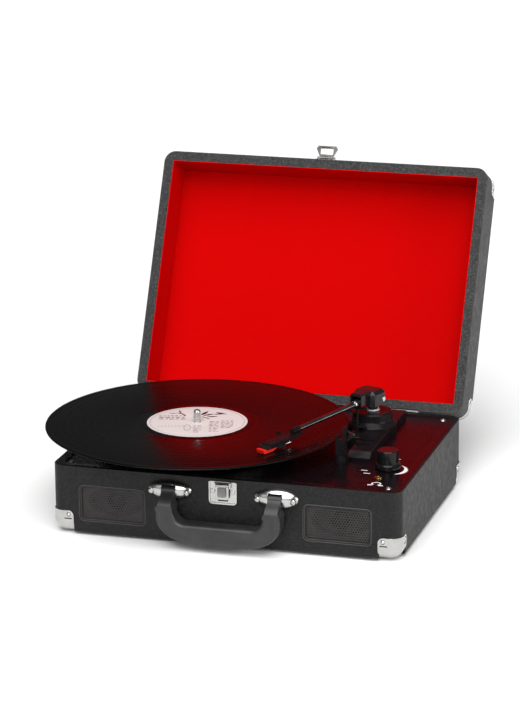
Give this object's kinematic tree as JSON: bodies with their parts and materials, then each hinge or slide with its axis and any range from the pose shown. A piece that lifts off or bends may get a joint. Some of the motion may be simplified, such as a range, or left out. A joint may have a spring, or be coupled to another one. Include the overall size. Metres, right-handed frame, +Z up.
{
  "type": "suitcase record player",
  "caption": "Portable record player in a latching carry case: hinged lid, belt-driven platter with a record, pivoted tonearm, front speaker grilles and carry handle.",
  "frame": {"origin": "centre of the case's plan, at the level the rubber feet stand on", "axes": "+X to the player's right seen from the handle side, +Y from the handle side to the lid hinges, +Z up along the spindle"},
  "size_m": [0.3873, 0.4575, 0.3153],
  "materials": {
    "leatherette": "satin",
    "deck_black": "satin",
    "board_brown": "matte",
    "corner_wood": "matte",
    "foot_rubber": "matte",
    "screw_steel": "satin",
    "bright_nickel": "polished",
    "grille_black": "satin",
    "driver_frame": "satin",
    "driver_paper": "matte",
    "panel_plastic": "matte",
    "socket_metal": "polished",
    "board_green": "satin",
    "pot_metal": "satin",
    "platter_metal": "satin",
    "mat_rubber": "matte",
    "clip_plastic": "satin",
    "vinyl": "polished",
    "label_paper": "matte",
    "motor_metal": "satin",
    "pulley_brass": "satin",
    "belt_rubber": "matte",
    "arm_plastic": "satin",
    "arm_gloss": "polished",
    "arm_chrome": "polished",
    "collar_white": "satin",
    "cartridge_plastic": "satin",
    "stylus_red": "satin",
    "knob_gloss": "polished",
    "handle_plastic": "satin",
    "red_lining": "matte"
  },
  "bodies": {
    "case": {"base_frame": "leatherette", "base_bottom": "board_brown", "corner_blocks": "corner_wood", "rubber_feet": "foot_rubber", "deck_plate": "deck_black", "deck_screws": "screw_steel", "speaker_grille_left": "grille_black", "speaker_grille_right": "grille_black", "speaker_baskets": "driver_frame", "speaker_cones": "driver_paper", "base_corner_guards": "bright_nickel", "base_guard_nails": "bright_nickel", "rear_panel": "panel_plastic", "dc_socket": "screw_steel", "rca_sockets": "socket_metal", "headphone_jack": "socket_metal", "main_board": "board_green", "volume_pot": "pot_metal", "motor": "motor_metal", "drive_belt": "belt_rubber", "spindle": "screw_steel", "arm_base": "arm_plastic", "arm_turret": "arm_plastic", "arm_rest_post": "arm_plastic", "hinge_leaves_base": "screw_steel", "hinge_pins": "screw_steel", "handle_brackets": "bright_nickel", "front_rivets": "bright_nickel", "latch_plate": "bright_nickel"},
    "turntable": {"platter": "platter_metal", "platter_mat": "mat_rubber", "platter_clip": "clip_plastic", "record": "vinyl", "record_label": "label_paper"},
    "pulley": {"motor_pulley": "pulley_brass"},
    "arm_head": {"swivel_post": "arm_gloss", "swivel_collar": "collar_white", "arm_housing": "arm_gloss", "pivot_screws": "screw_steel"},
    "tonearm": {"arm_pivot_block": "arm_gloss", "arm_tube": "arm_chrome", "headshell": "arm_plastic", "cartridge": "cartridge_plastic", "stylus": "stylus_red", "finger_lift": "arm_plastic"},
    "cue_handle": {"cue_lever": "arm_plastic"},
    "lift_bar": {"cue_lift_bar": "arm_gloss"},
    "rest_clip": {"arm_rest_clip": "arm_gloss"},
    "auto_stop": {"auto_stop_switch": "arm_plastic"},
    "speed": {"speed_selector": "arm_plastic"},
    "volume": {"volume_knob": "knob_gloss"},
    "handle": {"handle_grip": "handle_plastic"},
    "latch": {"latch_lever": "bright_nickel"},
    "lid": {"lid_shell": "leatherette", "lid_lining": "red_lining", "lid_corner_guards": "bright_nickel", "lid_guard_nails": "bright_nickel", "hinge_leaves_lid": "screw_steel", "hasp_plate": "bright_nickel"},
    "hasp": {"hasp_loop": "bright_nickel"}
  },
  "joints": [
    {"name": "lid_hinge", "type": "hinge", "parent": "case", "child": "lid", "pos_m": [0, 0.1302, 0.0701], "axis": [1, 0, 0], "range_deg": [0, 76]},
    {"name": "hasp_swing", "type": "hinge", "parent": "lid", "child": "hasp", "pos_m": [0, 0.25027, 0.30282], "axis": [1, 0, 0], "range_deg": [0, 90]},
    {"name": "platter_spin", "type": "hinge", "parent": "case", "child": "turntable", "pos_m": [-0.0595, -0.0215, 0.08], "axis": [0, 0, 1], "continuous": true},
    {"name": "motor_spin", "type": "hinge", "parent": "case", "child": "pulley", "pos_m": [-0.11748, 0.03648, 0.077], "axis": [0, 0, 1], "continuous": true},
    {"name": "tonearm_swing", "type": "hinge", "parent": "case", "child": "arm_head", "pos_m": [0.0995, 0.059, 0.092], "axis": [0, 0, 1], "range_deg": [-21, 18]},
    {"name": "cue_lever_turn", "type": "hinge", "parent": "case", "child": "cue_handle", "pos_m": [0.09564, 0.03379, 0.0806], "axis": [-0.9885, 0.1513, 0], "range_deg": [0, 75.2]},
    {"name": "cue_bar_rise", "type": "slide", "parent": "case", "child": "lift_bar", "axis": [0, 0, 1], "range_m": [0, 0.0023]},
    {"name": "tonearm_lift", "type": "hinge", "parent": "arm_head", "child": "tonearm", "pos_m": [0.0995, 0.059, 0.1055], "axis": [-0.9336, 0.3584, 0], "range_deg": [0, 4.5]},
    {"name": "rest_clip_turn", "type": "hinge", "parent": "case", "child": "rest_clip", "pos_m": [0.0984, -0.043, 0.0894], "axis": [0, 1, 0], "range_deg": [-40, 0]},
    {"name": "auto_stop_slide", "type": "slide", "parent": "case", "child": "auto_stop", "axis": [1, 0, 0], "range_m": [0, 0.009]},
    {"name": "speed_slide", "type": "slide", "parent": "case", "child": "speed", "axis": [1, 0, 0], "range_m": [0, 0.009]},
    {"name": "volume_turn", "type": "hinge", "parent": "case", "child": "volume", "pos_m": [0.144, -0.054, 0.08], "axis": [0, 0, 1], "range_deg": [-150, 150]},
    {"name": "handle_swing", "type": "hinge", "parent": "case", "child": "handle", "pos_m": [0, -0.1336, 0.0555], "axis": [-1, 0, 0], "range_deg": [0, 88]},
    {"name": "latch_turn", "type": "hinge", "parent": "case", "child": "latch", "pos_m": [0, -0.1322, 0.0645], "axis": [-1, 0, 0], "range_deg": [0, 75]}
  ],
  "couplings": [
    {"joint": "motor_spin", "follows": "platter_spin", "ratio": 14},
    {"joint": "cue_lever_turn", "follows": "tonearm_lift", "ratio": 16.667},
    {"joint": "cue_bar_rise", "follows": "tonearm_lift", "m_per_rad": 0.028011}
  ]
}
